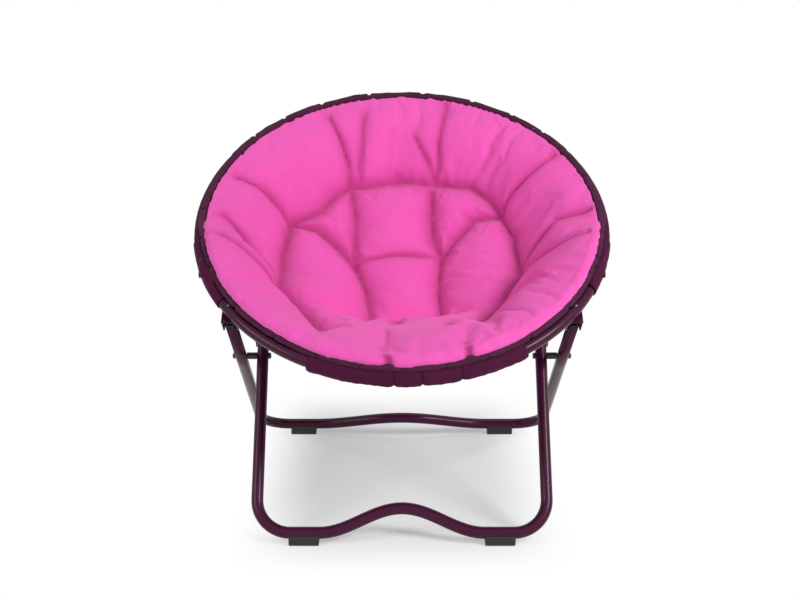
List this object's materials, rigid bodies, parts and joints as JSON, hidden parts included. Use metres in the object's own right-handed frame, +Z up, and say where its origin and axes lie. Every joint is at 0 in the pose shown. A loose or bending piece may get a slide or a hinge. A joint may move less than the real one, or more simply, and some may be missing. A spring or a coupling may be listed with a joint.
{
  "type": "folding saucer chair",
  "caption": "Folding saucer chair: a quilted pink dish seat on a hinged round tube ring, carried by two crossing U-shaped tube legs on floor pads.",
  "frame": {"origin": "on the floor, under the centre of the chair's bounding box", "axes": "+Z up, the sitter faces -Y, +X to the right as seen from the front"},
  "size_m": [0.7748, 0.6806, 0.7562],
  "materials": {
    "frame_paint": "gloss",
    "rivet_steel": "satin",
    "black_plastic": "matte",
    "seat_cloth": "matte",
    "trim_cloth": "matte"
  },
  "bodies": {
    "rear_ring": {"back_cushion": "seat_cloth", "back_piping": "trim_cloth", "back_sleeve": "trim_cloth", "back_sling": "trim_cloth", "front_leg_bracket_left": "frame_paint", "front_leg_bracket_right": "frame_paint", "front_leg_pivot_pin_left": "rivet_steel", "front_leg_pivot_pin_right": "rivet_steel", "rear_ring_rivet_left": "rivet_steel", "rear_ring_rivet_right": "rivet_steel", "rear_ring_tube": "frame_paint", "ring_hinge_fork_left": "frame_paint", "ring_hinge_fork_right": "frame_paint", "ring_hinge_pin_left": "rivet_steel", "ring_hinge_pin_right": "rivet_steel", "side_sleeve_left": "trim_cloth", "side_sleeve_right": "trim_cloth"},
    "front_ring": {"front_cushion": "seat_cloth", "front_piping": "trim_cloth", "front_ring_rivet_left": "rivet_steel", "front_ring_rivet_right": "rivet_steel", "front_ring_tube": "frame_paint", "front_sleeve": "trim_cloth", "front_sling": "trim_cloth", "rear_leg_bracket_left": "frame_paint", "rear_leg_bracket_right": "frame_paint", "rear_leg_pivot_pin_left": "rivet_steel", "rear_leg_pivot_pin_right": "rivet_steel", "ring_hinge_tongue_left": "frame_paint", "ring_hinge_tongue_right": "frame_paint"},
    "front_leg": {"crossing_bolt_left": "black_plastic", "crossing_bolt_right": "black_plastic", "crossing_spacer_left": "black_plastic", "crossing_spacer_right": "black_plastic", "front_leg_plug_left": "black_plastic", "front_leg_plug_right": "black_plastic", "front_leg_tube": "frame_paint", "front_pad_left": "black_plastic", "front_pad_right": "black_plastic", "stop_tab_left": "frame_paint", "stop_tab_right": "frame_paint", "stop_tab_rivet_left": "rivet_steel", "stop_tab_rivet_right": "rivet_steel"},
    "rear_leg": {"crossing_nut_left": "black_plastic", "crossing_nut_right": "black_plastic", "rear_leg_plug_left": "black_plastic", "rear_leg_plug_right": "black_plastic", "rear_leg_tube": "frame_paint", "rear_pad_left": "black_plastic", "rear_pad_right": "black_plastic"}
  },
  "joints": [
    {"name": "ring_fold", "type": "hinge", "parent": "rear_ring", "child": "front_ring", "pos_m": [0, -0.10963, 0.49592], "axis": [1, 0, 0], "range_deg": [-160, 0], "deforming": ["back_cushion", "front_cushion", "back_sling", "front_sling", "back_piping", "front_piping"]},
    {"name": "front_leg_swing", "type": "hinge", "parent": "rear_ring", "child": "front_leg", "pos_m": [0, 0.23686, 0.65059], "axis": [1, 0, 0], "range_deg": [-28.79, 0]},
    {"name": "rear_leg_swing", "type": "hinge", "parent": "front_ring", "child": "rear_leg", "pos_m": [0, -0.17349, 0.39426], "axis": [1, 0, 0], "range_deg": [0, 74.8]}
  ],
  "couplings": [
    {"joint": "front_leg_swing", "follows": "ring_fold", "ratio": 0.17991},
    {"joint": "rear_leg_swing", "follows": "ring_fold", "ratio": -0.46743}
  ]
}
